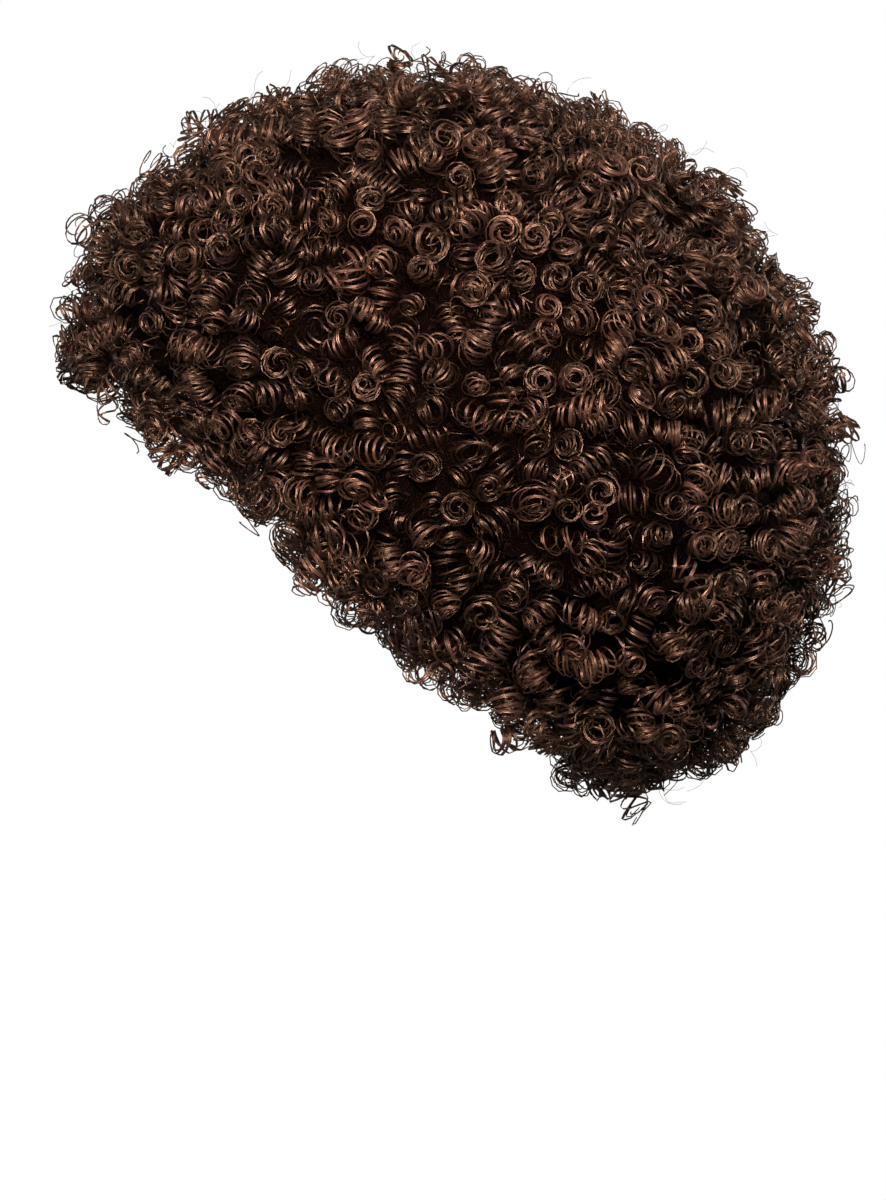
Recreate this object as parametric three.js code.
// An afro wig: a hollow net cap, and rows of curled hair sewn round it one below the other.
// Millimetres, +Z up. As worn, the front opening looks towards -Y and the left side is +X.
// The origin is the inside of the cap's top, which carries the wig when it is worn.
import * as THREE from 'three';
import { mergeVertices } from 'three/addons/utils/BufferGeometryUtils.js';

// The room inside the cap, an ellipsoid of the average size that such caps are made in
const ROOM = { halfBreadth: 79, halfLength: 101, height: 106 };
const ROOM_CENTRE = new THREE.Vector3(0, 0, -ROOM.height);

// The wig's own axis leans back from the vertical, square to the slanting rim
const WIG_LEAN = THREE.MathUtils.degToRad(43.5);
const AXIS = new THREE.Vector3(0, Math.sin(WIG_LEAN), Math.cos(WIG_LEAN));
const FRONT = new THREE.Vector3(0, -Math.cos(WIG_LEAN), Math.sin(WIG_LEAN));
const LEFT = new THREE.Vector3(1, 0, 0);

// The cap is knitted net on a thicker elastic hem, with a small tab at each side
const CAP_WALL = 1.6;
const CAP_GAP = 1.0;
const HEM = { inset: 1.2, share: 0.94, step: 0.01 };
const SIDE_TAB = { turn: 78, halfWidth: 16, drop: 9 };
const CAP_SECTORS = 30;
const CAP_RINGS = 7;

// Degrees from the axis at which the cap and the hair end, at the front, sides and back
const CAP_EDGE = { front: 92, side: 93, back: 91 };
const HAIR_INNER_EDGE = { front: 107, side: 107, back: 97 };
const HAIR_OUTER_EDGE = { front: 121, side: 123, back: 114 };

// The outer form of the hair: its reach from the hair's centre, by degrees from the axis
const HAIR_CENTRE = new THREE.Vector3(0, 29, -87);
const HAIR_FORM = [
  { angle: 0, front: 137, side: 137, back: 137 },
  { angle: 30, front: 135, side: 136, back: 140 },
  { angle: 60, front: 143, side: 138, back: 150 },
  { angle: 90, front: 153, side: 140, back: 158 },
  { angle: 105, front: 157, side: 138, back: 150 },
  { angle: 125, front: 144, side: 133, back: 138 },
];

// The rows of hair, from the crown to the hairline: where each ends, as a share of the way down
const HAIR_ROWS = [
  { name: 'crown_curls', end: 0.14, locks: 7 },
  { name: 'weft_row_1', end: 0.24, locks: 12 },
  { name: 'weft_row_2', end: 0.336, locks: 17 },
  { name: 'weft_row_3', end: 0.43, locks: 22 },
  { name: 'weft_row_4', end: 0.524, locks: 26 },
  { name: 'weft_row_5', end: 0.618, locks: 29 },
  { name: 'weft_row_6', end: 0.712, locks: 30 },
  { name: 'weft_row_7', end: 0.806, locks: 30 },
  { name: 'weft_row_8', end: 0.9, locks: 29 },
  { name: 'hairline_curls', end: 1, locks: 27 },
];
const ROW_GAP = 0.6;

// The stations round one row's section: how far across the row, how far out from the cap, and
// how many millimetres the hair stands above the outer form on a lock and between two locks
const WEFT_SECTION = [
  { across: 0, out: 0, lock: 0, between: 0 },
  { across: 1, out: 0, lock: 0, between: 0 },
  { across: 1, out: 1, lock: -9, between: -9 },
  { across: 0.78, out: 1, lock: -1.5, between: -8 },
  { across: 0.5, out: 1, lock: 1, between: -7 },
  { across: 0.22, out: 1, lock: -1.5, between: -8 },
  { across: 0, out: 1, lock: -9, between: -9 },
];
const CROWN_SECTION = [
  { across: 0, out: 0, lock: 0, between: 0 },
  { across: 1, out: 0, lock: 0, between: 0 },
  { across: 1, out: 1, lock: -9, between: -9 },
  { across: 0.84, out: 1, lock: -1.5, between: -8 },
  { across: 0.62, out: 1, lock: 1, between: -7 },
  { across: 0.36, out: 1, lock: -8, between: -8 },
  { across: 0, out: 1, lock: 1, between: 1 },
];

// The last row's locks also hang below the rim, by the millimetres in the hang columns
const HAIRLINE_SECTION = [
  { across: 0, out: 0, lock: 0, between: 0 },
  { across: 1, out: 0, lock: 0, between: 0 },
  { across: 1, out: 0.3, lock: 0, between: 0, hang: 8, hangBetween: 2 },
  { across: 1, out: 0.72, lock: 0, between: 0, hang: 9, hangBetween: 1 },
  { across: 0.9, out: 1, lock: -1, between: -8 },
  { across: 0.5, out: 1, lock: 1, between: -7 },
  { across: 0.22, out: 1, lock: -1.5, between: -8 },
  { across: 0, out: 1, lock: -9, between: -9 },
];

// A lock has three columns of points round the row: one between it and the last, two upon it
const LOCK_COLUMNS = 3;

// No two locks are alike: millimetres of reach, and shares of a column's width, that they vary by
const UNEVEN = { reach: 3.5, place: 0.3 };
const SPREAD = { byIndex: 12.9898, byChannel: 78.233, fold: 43758.5453 };
const REACH_CHANNEL = 99;

const MERGE_WITHIN = 1e-4;

// A repeatable spread of values between -0.5 and 0.5
function vary(index, channel) {
  const wave = Math.sin(index * SPREAD.byIndex + channel * SPREAD.byChannel) * SPREAD.fold;
  return wave - Math.floor(wave) - 0.5;
}

// A front, side and back value, blended by the turn round the axis (0 is the front)
function byTurn(row, turn) {
  const cosine = Math.cos(turn);
  const facing = cosine > 0 ? row.front : row.back;
  return facing * cosine ** 2 + row.side * Math.sin(turn) ** 2;
}

function direction(turn, angle) {
  const outward = FRONT.clone().multiplyScalar(Math.cos(turn)).addScaledVector(LEFT, Math.sin(turn));
  return AXIS.clone().multiplyScalar(Math.cos(angle)).addScaledVector(outward, Math.sin(angle));
}

// A point on the cap's inside, which is an ellipsoid, grown by an offset
function onCap(turn, angle, offset) {
  const way = direction(turn, angle);
  const reach = 1 / Math.hypot(
    way.x / (ROOM.halfBreadth + offset),
    way.y / (ROOM.halfLength + offset),
    way.z / (ROOM.height + offset),
  );
  return ROOM_CENTRE.clone().addScaledVector(way, reach);
}

// A point on the outer form of the hair
function onHair(turn, angle) {
  const degrees = THREE.MathUtils.radToDeg(angle);
  const next = Math.max(HAIR_FORM.findIndex((row) => row.angle >= degrees), 1);
  const above = HAIR_FORM[next - 1];
  const below = HAIR_FORM[next];
  const share = (degrees - above.angle) / (below.angle - above.angle);
  const reach = THREE.MathUtils.lerp(byTurn(above, turn), byTurn(below, turn), share);
  return HAIR_CENTRE.clone().addScaledVector(direction(turn, angle), reach);
}

// A point in the hair: down is 0 at the crown and 1 at the rim, out is 0 at the cap and 1 outside
function inHair(turn, down, out) {
  const innerAngle = THREE.MathUtils.degToRad(byTurn(HAIR_INNER_EDGE, turn)) * down;
  const outerAngle = THREE.MathUtils.degToRad(byTurn(HAIR_OUTER_EDGE, turn)) * down;
  const inner = onCap(turn, innerAngle, CAP_WALL + CAP_GAP);
  return inner.lerp(onHair(turn, outerAngle), out);
}

// Joins a closed loop of rings, each with the same count of points, into one closed skin
function loft(rings) {
  const corners = [];
  rings.forEach((ring, i) => {
    const next = rings[(i + 1) % rings.length];
    ring.forEach((point, j) => {
      const k = (j + 1) % ring.length;
      corners.push(point, ring[k], next[k], point, next[k], next[j]);
    });
  });
  const faceted = new THREE.BufferGeometry().setFromPoints(corners);
  const skin = mergeVertices(faceted, MERGE_WITHIN);
  const index = Array.from(skin.index.array);
  const kept = [];
  for (let i = 0; i < index.length; i += 3) {
    const [a, b, c] = index.slice(i, i + 3);
    if (a !== b && b !== c && c !== a) kept.push(a, b, c);
  }
  skin.setIndex(kept);
  skin.computeVertexNormals();
  return skin;
}

// The cap: an egg-shaped wall that is thicker at its hem
function makeCap() {
  const turns = Array.from({ length: CAP_SECTORS }, (_, i) => (i / CAP_SECTORS) * 2 * Math.PI);
  const edgeAngle = (turn) => {
    const degrees = THREE.MathUtils.radToDeg(Math.min(turn, 2 * Math.PI - turn));
    const away = Math.min(Math.abs(degrees - SIDE_TAB.turn) / SIDE_TAB.halfWidth, 1);
    const tab = SIDE_TAB.drop * Math.cos((away * Math.PI) / 2) ** 2;
    return THREE.MathUtils.degToRad(byTurn(CAP_EDGE, turn) + tab);
  };
  const ringAt = (share, offset) => turns.map((turn) => onCap(turn, edgeAngle(turn) * share, offset));
  const shares = Array.from({ length: CAP_RINGS }, (_, i) => (i / (CAP_RINGS - 1)) * HEM.share);
  const inside = shares.map((share) => ringAt(share, 0));
  const hem = [ringAt(HEM.share + HEM.step, -HEM.inset), ringAt(1, -HEM.inset), ringAt(1, CAP_WALL)];
  const outside = shares.map((share) => ringAt(share, CAP_WALL)).reverse();
  return loft([...inside, ...hem, ...outside]);
}

// One row of hair: dense at the cap, parted into locks outside
function makeRow(rowIndex, section) {
  const row = HAIR_ROWS[rowIndex];
  const halfGap = ROW_GAP / 2 / HAIR_FORM[0].front;
  const start = rowIndex === 0 ? 0 : HAIR_ROWS[rowIndex - 1].end + halfGap;
  const end = rowIndex === HAIR_ROWS.length - 1 ? row.end : row.end - halfGap;
  const count = row.locks * LOCK_COLUMNS;
  const rings = section.map((station, level) => Array.from({ length: count }, (_, column) => {
    const isBetween = column % LOCK_COLUMNS === 0;
    const isFree = station.lock !== station.between || station.hang;
    const spread = isFree ? 1 : 0;
    const seed = rowIndex * count + column;
    const stagger = (rowIndex % 2) * (LOCK_COLUMNS / 2);
    const place = column + stagger + spread * UNEVEN.place * vary(seed, level);
    const turn = (place / count) * 2 * Math.PI;
    const down = THREE.MathUtils.lerp(start, end, station.across);
    const point = inHair(turn, down, station.out);
    const outward = inHair(turn, down, 1).sub(inHair(turn, down, 0)).normalize();
    const uneven = UNEVEN.reach * vary(Math.floor(seed / LOCK_COLUMNS), REACH_CHANNEL);
    const lockReach = station.lock + spread * uneven;
    point.addScaledVector(outward, isBetween ? station.between : lockReach);
    if (station.hang) {
      const downward = inHair(turn, 1, station.out).sub(inHair(turn, start, station.out)).normalize();
      point.addScaledVector(downward, isBetween ? station.hangBetween : station.hang);
    }
    return point;
  }));
  return loft(rings);
}

const hairMaterial = new THREE.MeshStandardMaterial({ color: 0x38241b, roughness: 0.5, metalness: 0 });
const netMaterial = new THREE.MeshStandardMaterial({ color: 0x1c1512, roughness: 0.9, metalness: 0 });

function named(name, geometry, material) {
  const mesh = new THREE.Mesh(geometry, material);
  mesh.name = name;
  return mesh;
}

const wig = new THREE.Group();
wig.add(named('cap', makeCap(), netMaterial));
HAIR_ROWS.forEach((row, rowIndex) => {
  const isLast = rowIndex === HAIR_ROWS.length - 1;
  const lowerSection = isLast ? HAIRLINE_SECTION : WEFT_SECTION;
  const section = rowIndex === 0 ? CROWN_SECTION : lowerSection;
  wig.add(named(row.name, makeRow(rowIndex, section), hairMaterial));
});

export default wig;
